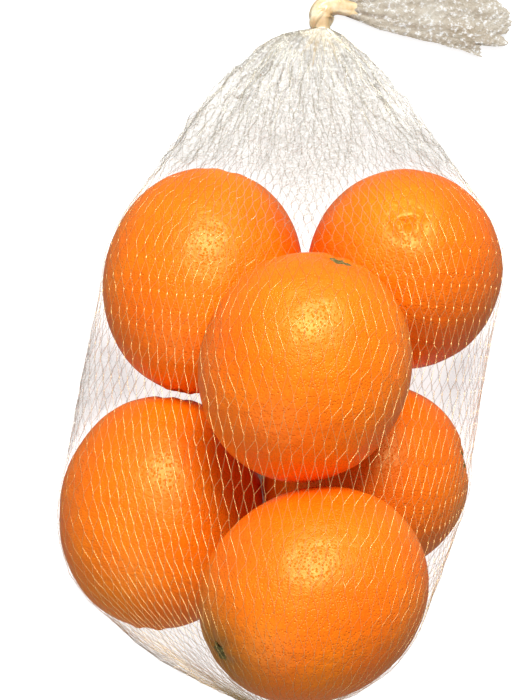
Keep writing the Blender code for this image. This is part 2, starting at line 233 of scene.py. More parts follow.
def frost_material(name):
    """Slack net bunched up: mostly see-through, with bright and grey grains."""
    mat, nodes, links, shader = new_material(name)
    grains = texture(nodes, links, "ShaderNodeTexNoise", 760.0, Detail=4.0, Roughness=0.65)
    patches = texture(nodes, links, "ShaderNodeTexNoise", 150.0, Detail=3.0)
    tone = ramp(nodes, links, grains.outputs["Fac"], (
        (0.34, (0.32, 0.29, 0.24)),
        (0.50, (0.56, 0.54, 0.48)),
        (0.66, (1.00, 1.00, 0.98)),
    ))
    links.new(tone.outputs["Color"], shader.inputs["Base Color"])
    solid = ramp(nodes, links, grains.outputs["Fac"], (
        (0.32, (0.62,) * 3),
        (0.42, (0.42,) * 3),
        (0.56, (0.42,) * 3),
        (0.68, (0.80,) * 3),
    ))
    cover = ramp(nodes, links, patches.outputs["Fac"], ((0.35, (0.62,) * 3), (0.65, (1.0,) * 3)))
    where = nodes.new("ShaderNodeAttribute")
    where.attribute_name = "frost"
    share = nodes.new("ShaderNodeMath")
    share.operation = "MULTIPLY"
    links.new(solid.outputs["Color"], share.inputs[0])
    links.new(where.outputs["Fac"], share.inputs[1])
    alpha = nodes.new("ShaderNodeMath")
    alpha.operation = "MULTIPLY"
    links.new(share.outputs[0], alpha.inputs[0])
    links.new(cover.outputs["Color"], alpha.inputs[1])
    links.new(alpha.outputs[0], shader.inputs["Alpha"])
    links.new(bump(nodes, links, grains.outputs["Fac"], 0.0005, 0.8), shader.inputs["Normal"])
    shader.inputs["Roughness"].default_value = 0.32
    return mat


def tail_material(name):
    """Bunched net seen as one crumpled film: tan where it is thick, with white frosted grains."""
    mat, nodes, links, shader = new_material(name)
    cloud = texture(nodes, links, "ShaderNodeTexNoise", 70.0, Detail=3.0)
    tone = ramp(nodes, links, cloud.outputs["Fac"], (
        (0.35, (0.38, 0.315, 0.225)),
        (0.65, (0.53, 0.49, 0.41)),
    ))
    grains = texture(nodes, links, "ShaderNodeTexNoise", 620.0, Detail=4.0, Roughness=0.7)
    frost = ramp(nodes, links, grains.outputs["Fac"], ((0.52, (0.0,) * 3), (0.64, (1.0,) * 3)))
    mix = nodes.new("ShaderNodeMix")
    mix.data_type = "RGBA"
    links.new(frost.outputs["Color"], mix.inputs["Factor"])
    links.new(tone.outputs["Color"], mix.inputs[6])
    mix.inputs[7].default_value = (0.80, 0.81, 0.80, 1.0)
    links.new(mix.outputs[2], shader.inputs["Base Color"])
    links.new(bump(nodes, links, grains.outputs["Fac"], 0.0006, 0.8), shader.inputs["Normal"])
    shader.inputs["Roughness"].default_value = 0.3
    shader.inputs["Transmission Weight"].default_value = 0.2
    shader.inputs["IOR"].default_value = 1.4
    return mat


def knot_material(name):
    """Tightly drawn film: waxy, yellower where it is thick, with fine stretch lines."""
    mat, nodes, links, shader = new_material(name)
    cloud = texture(nodes, links, "ShaderNodeTexNoise", 190.0, Detail=3.0)
    tone = ramp(nodes, links, cloud.outputs["Fac"], (
        (0.30, (0.55, 0.37, 0.17)),
        (0.50, (0.76, 0.60, 0.36)),
        (0.70, (0.86, 0.78, 0.58)),
    ))
    links.new(tone.outputs["Color"], shader.inputs["Base Color"])
    lines = texture(nodes, links, "ShaderNodeTexNoise", 900.0, Detail=3.0)
    links.new(bump(nodes, links, lines.outputs["Fac"], 0.00025, 0.6), shader.inputs["Normal"])
    shader.inputs["Roughness"].default_value = 0.26
    shader.inputs["Subsurface Weight"].default_value = 0.35
    shader.inputs["Subsurface Radius"].default_value = (1.0, 0.7, 0.35)
    shader.inputs["Subsurface Scale"].default_value = 0.002
    return mat


def peel_material(name):
    """Orange peel: pitted by oil glands, glossy between the pits, with soft colour drift."""
    mat, nodes, links, shader = new_material(name)
    drift = texture(nodes, links, "ShaderNodeTexNoise", 22.0, Detail=4.0, Roughness=0.6)
    tone = ramp(nodes, links, drift.outputs["Fac"], (
        (0.30, (0.97, 0.148, 0.001)),
        (0.50, (0.99, 0.182, 0.001)),
        (0.72, (1.00, 0.232, 0.002)),
    ))
    cells = texture(nodes, links, "ShaderNodeTexVoronoi", 1000.0)
    pit = ramp(nodes, links, cells.outputs["Distance"], ((0.05, (0.0,) * 3), (0.42, (1.0,) * 3)))
    # The colour is darker at the bottom of each oil-gland pit: painted shade in the pits.
    darken = nodes.new("ShaderNodeMix")
    darken.data_type = "RGBA"
    darken.blend_type = "MULTIPLY"
    darken.inputs["Factor"].default_value = 1.0
    links.new(tone.outputs["Color"], darken.inputs[6])
    shade = ramp(nodes, links, cells.outputs["Distance"], ((0.0, (0.95, 0.90, 0.8)), (0.3, (1.0,) * 3)))
    links.new(shade.outputs["Color"], darken.inputs[7])
    color = blended(nodes, links, "stem_tint", darken.outputs[2], OLIVE_BROWN)
    links.new(color, shader.inputs["Base Color"])
    lumps = texture(nodes, links, "ShaderNodeTexNoise", 210.0, Detail=3.0)
    base = bump(nodes, links, lumps.outputs["Fac"], 0.0011, 0.55)
    links.new(bump(nodes, links, pit.outputs["Color"], 0.0003, 0.7, base), shader.inputs["Normal"])
    gloss = ramp(nodes, links, lumps.outputs["Fac"], ((0.3, (0.36,) * 3), (0.7, (0.46,) * 3)))
    links.new(gloss.outputs["Color"], shader.inputs["Roughness"])
    shader.inputs["Subsurface Weight"].default_value = 0.12
    shader.inputs["Subsurface Radius"].default_value = (1.0, 0.35, 0.08)
    shader.inputs["Subsurface Scale"].default_value = 0.004
    shader.inputs["Specular IOR Level"].default_value = 0.8
    shader.inputs["Specular Tint"].default_value = (1.0, 0.80, 0.30, 1.0)
    return mat


def calyx_material(name):
    mat, nodes, links, shader = new_material(name)
    cloud = texture(nodes, links, "ShaderNodeTexNoise", 700.0, Detail=4.0)
    tone = ramp(nodes, links, cloud.outputs["Fac"], (
        (0.3, (0.07, 0.065, 0.015)),
        (0.55, (0.18, 0.15, 0.035)),
        (0.8, (0.36, 0.24, 0.07)),
    ))
    links.new(tone.outputs["Color"], shader.inputs["Base Color"])
    links.new(bump(nodes, links, cloud.outputs["Fac"], 0.0005, 0.8), shader.inputs["Normal"])
    shader.inputs["Roughness"].default_value = 0.75
    return mat


def metal_material(name):
    mat, nodes, links, shader = new_material(name)
    scratch = texture(nodes, links, "ShaderNodeTexNoise", 900.0, Detail=5.0)
    tone = ramp(nodes, links, scratch.outputs["Fac"], (
        (0.35, (0.55, 0.56, 0.57)),
        (0.65, (0.80, 0.81, 0.82)),
    ))
    links.new(tone.outputs["Color"], shader.inputs["Base Color"])
    rough = ramp(nodes, links, scratch.outputs["Fac"], ((0.3, (0.25,) * 3), (0.7, (0.5,) * 3)))
    links.new(rough.outputs["Color"], shader.inputs["Roughness"])
    links.new(bump(nodes, links, scratch.outputs["Fac"], 0.0001, 0.4), shader.inputs["Normal"])
    shader.inputs["Metallic"].default_value = 1.0
    return mat


# ---------------------------------------------------------------- oranges


def value_noise(points, cell, seed):
    """Smooth noise from -1 to 1 at points in mm, with features about cell mm across."""
    rng = np.random.default_rng(seed)
    waves = rng.normal(size=(10, 3)) / cell * 1.9
    phase = rng.uniform(0.0, math.tau, 10)
    return np.sin(points @ waves.T + phase).mean(axis=1) * 1.8


def orange_points(radius, half_length, seed):
    """A sphere of rings from the stem to the navel, closest at its ends, in the orange's own frame."""
    polar = np.linspace(0.0, math.pi, ORANGE_RINGS)
    polar = polar - 0.32 * np.sin(2.0 * polar) / 2.0
    angle = math.tau * np.arange(ORANGE_AROUND) / ORANGE_AROUND
    polar, angle = np.meshgrid(polar, angle, indexing="ij")
    r = radius * np.sin(polar).clip(0.0) ** 0.96
    z = half_length * np.cos(polar)
    stem = np.exp(-((r / 5.4) ** 2)) * (z > 0)
    furrow = np.exp(-(((r - 8.5) / 5.0) ** 2)) * (z > 0) * (0.5 + 0.5 * np.cos(7 * angle + seed))
    z = z - STEM_DIMPLE * stem - 0.55 * furrow
    star = 4.4 + 0.9 * np.cos(5 * angle + seed)
    navel = (z < 0) * (
        2.1 * np.exp(-((r / (2.2 + 0.7 * np.cos(3 * angle + seed))) ** 2))
        - 0.70 * np.exp(-(((r - star) / 1.3) ** 2)) * (0.6 + 0.4 * np.cos(2 * angle))
        + 0.35 * np.exp(-(((r - 7.0) / 1.8) ** 2)) * (0.5 + 0.5 * np.cos(9 * angle + 2.0 * np.cos(angle)))
    )
    z = z + navel
    points = np.stack([r * np.cos(angle), r * np.sin(angle), z], axis=-1).reshape(-1, 3)
    out = points / np.maximum(np.linalg.norm(points, axis=1, keepdims=True), 1e-6)
    lumps = 0.28 * value_noise(points, 16.0, seed) + 0.07 * value_noise(points, 4.5, seed + 50)
    return points + out * (lumps - 0.3)[:, None]


# Rings of a calyx from its button, over the sepals and back below: share of the outline, and height.
CALYX_PROFILE = (
    (0.0, 0.75), (0.16, 0.85), (0.27, 0.55), (0.34, 0.75), (0.6, 0.95),
    (0.85, 0.8), (1.0, 0.45), (0.96, 0.1), (0.5, 0.0), (0.0, 0.0),
)


def calyx_points(seed, floor_z):
    """Five pointed sepals round a low button, as rings from the middle out, and its underside."""
    around = 80
    angle = math.tau * np.arange(around) / around
    lobe = np.abs(np.cos(2.5 * angle + 0.3 * seed)) ** 1.6
    rings = []
    for share, height in CALYX_PROFILE:
        outer = 2.2 + 2.2 * lobe
        r = outer * share if share > 0.3 else np.full(around, 4.4 * share)
        rim = 0.35 * share * lobe * np.cos(5 * angle + seed) + 0.12 * np.cos(23 * angle + 9 * share)
        z = floor_z + height + (rim if share > 0.3 else 0.0)
        rings.append(np.stack([r * np.cos(angle), r * np.sin(angle), np.broadcast_to(z, around)], axis=-1))
    return np.concatenate(rings), len(rings), around


def press(points, other, reach):
    """Flattens the skin that comes within reach (mm) of another orange, as fruit packed together does."""
    centre, radius, half_length, axis = other
    turn = axis_frame(axis)
    half = np.array([radius, radius, half_length])
    local = (points - centre) @ turn
    share = np.linalg.norm(local / half, axis=1)
    gap = share * (share - 1.0) / np.linalg.norm(local / half**2, axis=1)
    toward = (local / half**2) @ turn.T
    toward /= np.linalg.norm(toward, axis=1, keepdims=True)
    step = 0.5 * np.maximum(gap - CONTACT_GAP, 0.0) * (1.0 - smoothstep(0.7 * reach, reach, gap))
    return points - toward * step[:, None]


def build_oranges():
    peel, green = peel_material("orange_peel_look"), calyx_material("calyx_look")
    for number, (centre, radius, half_length, axis) in enumerate(ORANGES, start=1):
        turn, name = axis_frame(axis), f"orange_{number}"
        local = orange_points(radius, half_length, number)
        skin = local @ turn.T + centre
        if number in PRESSED:
            skin = press(skin, ORANGES[PRESSED[number] - 1], 2.4)
        fruit = mesh_object(f"{name}_fruit", skin, grid_quads(ORANGE_RINGS, ORANGE_AROUND), peel)
        from_stem = np.linalg.norm((local - (0.0, 0.0, half_length)) / STEM_TINT_REACH, axis=1)
        set_attribute(fruit, "stem_tint", STEM_TINT.get(number, 0.0) * np.exp(-from_stem**2))
        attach(fruit, name)
        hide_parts(name)
        star, rows, around = calyx_points(number, half_length - STEM_DIMPLE)
        calyx = mesh_object(f"{name}_sepals", star @ turn.T + centre, grid_quads(rows, around), green)
        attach(calyx, name)
        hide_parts(f"{name}_calyx")


# ---------------------------------------------------------------- the net


def hull_2d(points):
    """The convex outline of points, anticlockwise."""
    ordered = sorted({(round(float(x), 5), round(float(z), 5)) for x, z in points})
    halves = []
    for run in (ordered, ordered[::-1]):
        chain = []
        for p in run:
            while len(chain) > 1:
                (ax, az), (bx, bz) = chain[-2:]
                if (bx - ax) * (p[1] - az) - (bz - az) * (p[0] - ax) > 0.0:
                    break
                chain.pop()
            chain.append(p)
        halves.append(chain[:-1])
    return np.array(halves[0] + halves[1])


def cad_edges(*names):
    """The ends of every edge of the named CAD nodes, in mm."""
    found = []
    for name in names:
        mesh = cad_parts[name].data
        points, ends = np.zeros(len(mesh.vertices) * 3), np.zeros(len(mesh.edges) * 2, np.int32)
        mesh.vertices.foreach_get("co", points)
        mesh.edges.foreach_get("vertices", ends)
        found.append(points.reshape(-1, 3)[ends.reshape(-1, 2)] / MM)
    return np.concatenate(found)


def ring_at(edges, y, columns):
    """The CAD net's outline at one station, as evenly spaced points from its lowest middle point."""
    a, b = edges[:, 0], edges[:, 1]
    across = (a[:, 1] > y) != (b[:, 1] > y)
    a, b = a[across], b[across]
    t = ((y - a[:, 1]) / (b[:, 1] - a[:, 1]))[:, None]
    outline = hull_2d((a + t * (b - a))[:, [0, 2]])
    loop = np.vstack([outline, outline[:1]])
    steps = np.diff(loop, axis=0) * (1.0, STEEP_SHARE)
    along = np.concatenate([[0.0], np.cumsum(np.linalg.norm(steps, axis=1))])
    fine = np.linspace(0.0, along[-1], 2000, endpoint=False)
    x, z = (np.interp(fine, along, loop[:, k]) for k in range(2))
    low = z < (z.min() + z.max()) / 2
    start = fine[low][np.argmin(np.abs(x[low] - (x.min() + x.max()) / 2))]
    at = (start + np.linspace(0.0, along[-1], columns, endpoint=False)) % along[-1]
    x, z = (np.interp(at, along, loop[:, k]) for k in range(2))
    return np.stack([x, np.full(columns, y), z], axis=1)


def end_ring(centre, radius, columns):
    angle = -math.pi / 2 + math.tau * np.arange(columns) / columns
    x, y, z = centre
    return np.stack([x + radius * np.cos(angle), np.full(columns, y), z + radius * np.sin(angle)], axis=1)


def net_rest():
    """Knots of the net spread evenly over the CAD surface: rows from the knot to the clip, strands around."""
    columns = 2 * STRANDS
    edges = cad_edges("net_sleeve", "net_neck")
    stations = np.concatenate([np.linspace(131.5, 105.2, 14), np.linspace(103.6, -138.0, 120)])
    rings = [end_ring(KNOT_ENTRY, 2.6, columns)]
    rings += [ring_at(edges, y, columns) for y in stations]
    rings.append(end_ring(CLOSURE, 3.0, columns))
    surface = np.array(rings)
    along = np.concatenate([
        np.zeros((1, columns)),
        np.cumsum(np.linalg.norm(np.diff(surface, axis=0), axis=2), axis=0),
    ])
    rows = np.linspace(0.0, 1.0, ROWS)
    net = np.zeros((ROWS, STRANDS, 3))
    for column in range(columns):
        for axis in range(3):
            line = np.interp(rows * along[-1, column], along[:, column], surface[:, column, axis])
            keep = np.arange(ROWS) % 2 == column % 2
            net[keep, column // 2, axis] = line[keep]
    for place, reach, shift in NET_PULLS:
        near = np.exp(-(((net - place) / reach) ** 2).sum(axis=-1, keepdims=True))
        net += near * np.array(shift)
    return net


def bar_sets(rows):
    """The bars as index pairs, in groups where no knot comes twice: (upper, lower) as flat indices."""
    index = np.arange(rows * STRANDS).reshape(rows, STRANDS)
    sets = []
    for parity in (0, 1):
        upper, lower = index[parity:-1:2], index[parity + 1 :: 2]
        upper = upper[: len(lower)]
        sets.append((upper.ravel(), lower.ravel()))
        sets.append((upper.ravel(), np.roll(lower, 1 if parity == 0 else -1, axis=1).ravel()))
    return sets


def clearance(points):
    """How far points are, seen in plan, outside the nearest orange, in mm."""
    nearest = np.full(len(points), np.inf)
    for centre, radius, half_length, axis in ORANGES:
        local = ((points - centre) * (1.0, 1.0, 0.0)) @ axis_frame(axis)
        depth = np.linalg.norm(local / np.array([radius, radius, half_length]), axis=1)
        nearest = np.minimum(nearest, (depth - 1.0) * radius)
    return nearest


def push_out(points, lift):
    """Moves points inside an orange or the ground out to its surface plus lift. Tells which are held up."""
    held = points[..., 2] < GROUND_LIFT
    for centre, radius, half_length, axis in ORANGES:
        turn = axis_frame(axis)
        local = (points - centre) @ turn
        half = np.array([radius, radius, half_length]) + lift
        depth = np.linalg.norm(local / half, axis=-1)
        inside = depth < 1.0
        local[inside] /= depth[inside, None]
        points[inside] = (local[inside] @ turn.T) + centre
        held |= depth < 1.01
    points[..., 2] = np.maximum(points[..., 2], GROUND_LIFT)
    return held


def relax(net):
    """Lets the net settle: bars can't stretch, the slack hangs, and the fruit and the ground hold it up."""
    home = net.copy()
    flat, sets = net.reshape(-1, 3), bar_sets(len(net))
    pull = 0.03 + 0.07 * smoothstep(70.0, 120.0, home[..., 1])[..., None]
    held = push_out(flat, LIFT)
    for _ in range(RELAX_STEPS):
        before = net.copy()
        flat[~held, 2] -= 0.04
        evened = 0.5 * (np.roll(net, 1, axis=1) + np.roll(net, -1, axis=1)) - net
        net += 0.06 * evened
        for a, b in sets:
            step = flat[b] - flat[a]
            length = np.maximum(np.linalg.norm(step, axis=1, keepdims=True), 1e-6)
            over = np.maximum(length - BAR, 0.0) * 0.5 - np.maximum(0.84 * BAR - length, 0.0) * 0.08
            flat[a] += step / length * over
            flat[b] -= step / length * over
        net += pull * (home - net)
        held = push_out(flat, LIFT)
        net[0], net[-1] = before[0], before[-1]
    return net


def tubes(start, end, radii, shares, size, bow):
    """One tube from each start to its end. radii and shares give its rings, and size scales each tube."""
    along = end - start
    along /= np.maximum(np.linalg.norm(along, axis=1, keepdims=True), 1e-9)
    side = np.cross(along, np.array([0.31, 0.12, 0.94]))
    side /= np.maximum(np.linalg.norm(side, axis=1, keepdims=True), 1e-9)
    other = np.cross(along, side)
    count, rings = len(start), len(shares)
    angle = math.tau * np.arange(TUBE_SIDES) / TUBE_SIDES
    cos, sin = np.cos(angle)[:, None], np.sin(angle)[:, None]
    spread = (side[:, None] * cos + other[:, None] * sin) * size[:, None, None]
    out = np.zeros((count, rings, TUBE_SIDES, 3))
    for ring, (share, radius) in enumerate(zip(shares, radii)):
        middle = start + (end - start) * share + bow * (4.0 * share * (1.0 - share))
        out[:, ring] = middle[:, None] + spread * radius
    quads = grid_quads(rings, TUBE_SIDES)
    faces = quads[None] + (np.arange(count) * rings * TUBE_SIDES)[:, None, None]
    return out.reshape(-1, 3), faces.reshape(-1, 4)


def strand_mesh(name, net, mat, size=None, held=None):
    """The net: at each knot two strands run side by side in a short thick dash, and thin bars join them."""
    ends = np.concatenate([np.stack(pair, axis=1) for pair in bar_sets(len(net))])
    flat = net.reshape(-1, 3)
    size = np.ones(len(flat)) if size is None else size.ravel()
    upper, lower = ends.T
    lean = np.zeros_like(flat)
    np.add.at(lean, upper, flat[upper] - flat[lower])
    np.add.at(lean, lower, flat[upper] - flat[lower])
    lean /= np.maximum(np.linalg.norm(lean, axis=1, keepdims=True), 1e-6)
    half = lean * DASH_HALF
    knots = np.unique(ends)
    middle = DASH_RADIUS * np.array([0.45, 1.0, 0.45])
    straight = np.zeros((len(knots), 3))
    dashes, dash_quads = tubes(
        (flat + half)[knots], (flat - half)[knots], middle, (0.0, 0.5, 1.0), size[knots], straight)
    length = np.linalg.norm(flat[lower] - flat[upper], axis=1, keepdims=True)
    slack = np.clip(BAR - length, 0.0, 2.5)
    bow = RNG.normal(size=(len(ends), 3)) * (0.06 + 0.26 * slack)
    bars, bar_quads = tubes(
        (flat - half * 0.9)[upper], (flat + half * 0.9)[lower],
        BAR_RADIUS * np.ones(4), (0.0, 0.33, 0.67, 1.0), (size[upper] + size[lower]) / 2, bow)
    points = np.concatenate([dashes, bars])
    points[:, 2] = np.maximum(points[:, 2], STRAND_LOWEST)
    piece = mesh_object(name, points, np.concatenate([dash_quads, bar_quads + len(dashes)]), mat)
    # Marks the strands that lie over the fruit; there the material paints the fruit's orange light on them.
    if held is not None:
        fruit_light_share = held.ravel().astype(float)
        set_attribute(piece, "fruit_light_share", np.concatenate([
            np.repeat(fruit_light_share[knots], 3 * TUBE_SIDES),
            np.repeat((fruit_light_share[upper] + fruit_light_share[lower]) / 2, 4 * TUBE_SIDES),
        ]))
    return piece


def build_net(film):
    net = relax(net_rest())
    loose = smoothstep(62.0, 96.0, net[..., 1]) * (1.0 - smoothstep(118.0, 132.0, net[..., 1]))
    column = np.arange(STRANDS)[None, :]
    slide = 2.2 * np.sin(0.9 * column + 2.0 * np.sin(0.37 * column)) + RNG.normal(size=net.shape[:2]) * 0.9
    net[..., 1] += slide * loose
    stray = (0.14 + 0.62 * loose[..., None]) * (1.0 - smoothstep(118.0, 131.0, net[..., 1]))[..., None]
    net += RNG.normal(size=net.shape) * stray
    free = ~push_out(net.reshape(-1, 3), 0.42).reshape(net.shape[:2])
    # Strands over the fruit and away from the bunched film get painted orange light from the fruit.
    fruit_light_mask = 1.0 - smoothstep(60.0, 78.0, net[..., 1])
    for place, reach, _ in FROST_ZONES:
        away = np.linalg.norm((net - place) / reach, axis=-1)
        fruit_light_mask = np.minimum(fruit_light_mask, smoothstep(0.6, 1.1, away))
    size = 1.0 + 0.45 * free + 0.25 * loose
    piece = strand_mesh("net_strands", net, film, size=size, held=fruit_light_mask)
    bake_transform(piece)
    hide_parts("net_sleeve", "net_neck")
    return net


def build_frost(net, film):
    """The slack parts of the net as one crumpled film, cut out where the fruit pulls the net clear."""
    even = net.copy()
    even[1::2] = (net[1::2] + np.roll(net[1::2], 1, axis=1)) / 2
    fine = 3
    rows, columns = (ROWS - 1) * fine + 1, STRANDS * fine
    at_row, at_column = np.arange(rows) / fine, np.arange(columns) / fine
    r, c = np.minimum(at_row.astype(int), ROWS - 2), at_column.astype(int)
    u, v = (at_row - r)[:, None, None], (at_column - c)[None, :, None]
    n = (c + 1) % STRANDS
    near, far = even[r], even[r + 1]
    sheet = (near[:, c] * (1 - v) + near[:, n] * v) * (1 - u) + (far[:, c] * (1 - v) + far[:, n] * v) * u
    points = sheet.reshape(-1, 3)
    frost = np.zeros(len(points))
    for place, reach, thick in FROST_ZONES:
        away = np.linalg.norm((points - place) / reach, axis=1)
        frost = np.maximum(frost, thick * (1.0 - smoothstep(0.55, 1.15, away)))
    frost *= smoothstep(-139.0, -130.0, points[:, 1]) * smoothstep(0.0, 4.0, clearance(points))
    points = points + np.stack([value_noise(points, 2.4, seed) for seed in (21, 22, 23)], axis=1) * 0.45
    points[:, 2] = np.maximum(points[:, 2], 0.25)
    push_out(points, 0.3)
    quads = grid_quads(rows, columns)
    quads = quads[(frost[quads] > 0.02).all(axis=1)]
    used, quads = np.unique(quads, return_inverse=True)
    piece = mesh_object("net_frost", points[used], quads.reshape(-1, 4), film)
    set_attribute(piece, "frost", frost[used])
    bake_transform(piece)


def smooth_line(points, count):
    """A Catmull-Rom curve through the points, as count points."""
    p = np.array(points, float)
    p = np.vstack([2 * p[0] - p[1], p, 2 * p[-1] - p[-2]])
    at = np.linspace(0.0, len(p) - 3 - 1e-9, count)
    i, t = at.astype(int), (at % 1.0)[:, None]
    a, b, c, d = p[i], p[i + 1], p[i + 2], p[i + 3]
    return 0.5 * (2 * b + (c - a) * t + (2 * a - 5 * b + 4 * c - d) * t**2 + (3 * b - a - 3 * c + d) * t**3)


def fluted_tube(line, wide, high, flutes, depth, twist, seed, around=64):
    """Gathered film: an oval tube along a line, creased lengthwise. Points, row and column counts."""
    along = np.gradient(line, axis=0)
    along /= np.linalg.norm(along, axis=1, keepdims=True)
    up = np.array([0.0, 0.0, 1.0])
    side = np.cross(along, up)
    side /= np.linalg.norm(side, axis=1, keepdims=True)
    top = np.cross(side, along)
    angle = math.tau * np.arange(around) / around
    share = np.linspace(0.0, 1.0, len(line))[:, None]
    phase = twist * share + seed
    crease = np.cos(flutes * angle + phase) + 0.5 * np.cos((flutes * 2 + 1) * angle - 1.7 * phase)
    grow = 1.0 + depth * crease
    points = (
        line[:, None]
        + side[:, None] * (np.asarray(wide)[:, None] * np.cos(angle) * grow)[..., None]
        + top[:, None] * (np.asarray(high)[:, None] * np.sin(angle) * grow)[..., None]
    )
    return points.reshape(-1, 3), len(line), around


def closed_tube(points, rows, around):
    """The tube's points and faces, with both its ends drawn shut."""
    rings = points.reshape(rows, around, 3)
    first, last = rings[0].mean(axis=0), rings[-1].mean(axis=0)
    points = np.vstack([points, first, last])
    quads = grid_quads(rows, around)
    i = np.arange(around)
    n = (i + 1) % around
    start = np.stack([np.full(around, len(points) - 2), n, i, i], axis=1)
    last = (rows - 1) * around
    end = np.stack([np.full(around, len(points) - 1), i + last, n + last, n + last], axis=1)
    return points, np.vstack([quads, start, end])


def between(line, stops):
    """Values that change smoothly along a line, from (share, value) stops."""
    share = np.linspace(0.0, 1.0, len(line))
    return np.interp(share, *np.array(stops).T)


# Where the folds that run down from the knot fade out: X, Y, Z and the width of the fold (mm).
KNOT_PLEATS = (
    (4.4, 122.0, 7.6, 1.3),
    (9.6, 118.0, 8.8, 1.1),
    (14.6, 121.5, 9.0, 0.9),
    (19.8, 119.0, 8.2, 1.0),
    (25.0, 124.0, 6.8, 0.8),
)


def build_knot(film):
    """An elbow of drawn film that swells, and the loop that crosses over it."""
    elbow = smooth_line(((14.0, 131.0, 5.2), (13.4, 134.5, 5.6), (12.9, 138.2, 6.0), (14.2, 141.3, 6.0),
                         (18.4, 142.6, 5.2), (23.0, 142.0, 3.9), (28.0, 141.3, 2.9)), 60)
    wide = between(elbow, ((0, 2.4), (0.14, 3.2), (0.34, 4.9), (0.55, 4.5), (0.75, 3.3), (1, 3.0)))
    high = between(elbow, ((0, 2.2), (0.14, 2.9), (0.34, 4.3), (0.55, 4.1), (0.75, 2.6), (1, 1.2)))
    points, quads = closed_tube(*fluted_tube(elbow, wide, high, 5, 0.035, 2.2, 0.4))
    bulb = mesh_object("knot_elbow", points, quads, film)
    angle = np.linspace(0.35, math.tau - 0.55, 70)
    tilt = math.radians(38.0)
    ring = np.stack([4.1 * np.cos(angle), 2.4 * np.sin(angle), 3.3 * np.sin(angle)], axis=1)
    cos, sin = math.cos(tilt), math.sin(tilt)
    turn = np.array([[cos, -sin, 0.0], [sin, cos, 0.0], [0.0, 0.0, 1.0]])
    loop = ring @ turn.T + np.array([13.7, 137.2, 6.0])
    size = between(loop, ((0, 1.2), (0.2, 1.9), (0.7, 1.9), (1, 1.2)))
    points, quads = closed_tube(*fluted_tube(loop, size, size * 0.9, 4, 0.06, 4.0, 1.9))
    wrap = mesh_object("knot_loop", points, quads, film)
    pieces = [bulb, wrap]
    for number, (x, y, z, width) in enumerate(KNOT_PLEATS, start=1):
        mid_x = (x + 13.4) / 2 + 0.6 * math.sin(2.1 * number)
        middle = (mid_x, (y + 133.4) / 2 + 1.0, (z + 6.6) / 2)
        pleat = smooth_line(((13.4, 133.4, 5.4), middle, (x, y, z)), 40)
        size = between(pleat, ((0, 1.5), (0.3, width), (1, 0.12)))
        points, quads = closed_tube(*fluted_tube(pleat, size, size * 0.6, 3, 0.08, 1.5, number, 32))
        pieces.append(mesh_object(f"knot_pleat_{number}", points, quads, film))
    for piece in pieces:
        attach(piece, "neck")
        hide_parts("top_knot")


# The tail's lower and upper edge (Y) at stations along X.
TAIL_EDGES = (
    (20.0, 139.6, 144.6), (24.0, 138.2, 145.6), (30.0, 135.8, 146.3),
    (37.0, 133.0, 147.0), (47.0, 130.6, 148.6), (60.0, 127.8, 150.2),
    (69.0, 125.1, 150.8), (78.0, 122.0, 150.6), (92.0, 119.0, 149.8),
)
# How far along X the ragged cut reaches, from the lower edge (-1) to the upper (1).
TAIL_TIPS = (
    (-1.0, 77.6), (-0.86, 78.2), (-0.74, 76.6), (-0.66, 78.0), (-0.6, 85.0),
    (-0.5, 88.4), (-0.36, 88.0), (-0.27, 85.6), (-0.14, 89.0), (0.15, 89.8),
    (0.42, 88.6), (0.66, 83.6), (0.85, 76.0), (1.0, 73.0),
)
TAIL_START = 20.0


def build_tail(film):
    """The loose end of the net: a crumpled flat sock that widens from the knot to a ragged cut."""
    rows, around = 200, 260
    share = np.linspace(0.0, 1.0, rows)[:, None]
    angle = math.tau * np.arange(around)[None, :] / around
    across = np.cos(angle + 0.10 * np.sin(6 * angle))
    tips = np.interp(across, *np.array(TAIL_TIPS).T)
    tips = tips + 0.5 * np.sin(23.0 * across) + 0.35 * np.sin(57.0 * across + 1.0)
    x = TAIL_START + (tips - TAIL_START) * share
    edges = np.array(TAIL_EDGES)
    low, high = (np.interp(x, edges[:, 0], edges[:, k]) for k in (1, 2))
    y = (low + high) / 2 + (high - low) / 2 * across
    open_end = 1.0 - smoothstep(0.9, 1.0, share)
    thick = np.interp(x, (20.0, 30.0, 60.0, 92.0), (1.6, 1.5, 1.0, 0.7)) * (0.25 + 0.75 * open_end)
    fold = np.interp(x, (20.0, 30.0, 50.0, 90.0), (0.2, 0.28, 0.18, 0.22))
    wave = fold * np.sin(7.0 * across + x / 17.0)
    ripple = 0.6 * fold * np.sin(13.0 * across - x / 9.0)
    z = 2.9 + thick * np.sin(angle) + wave + ripple
    tail = np.stack([x, y, z], axis=-1).reshape(-1, 3)
    grain = value_noise(tail, 2.6, 3) * 0.22 + value_noise(tail, 1.3, 4) * 0.15
    tail[:, 2] += grain + RNG.normal(size=len(tail)) * 0.05
    tail[:, 1] += 0.25 * value_noise(tail, 5.0, 5)
    tail[:, 2] = np.maximum(tail[:, 2], 0.3)
    points = np.vstack([tail, tail.reshape(rows, around, 3)[0].mean(axis=0)])
    column = np.arange(around)
    hub = np.full(around, len(points) - 1)
    start = np.stack([hub, (column + 1) % around, column, column], axis=1)
    i = np.arange(around // 2)
    last = (rows - 1) * around
    seam = last + np.stack([i, i + 1, (around - i - 1) % around, (around - i) % around], axis=1)
    quads = np.vstack([grid_quads(rows, around), start, seam[1:-1]])
    piece = mesh_object("tail_film", points, quads, film)
    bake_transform(piece)
    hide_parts("tail_stem", "tail_fan")


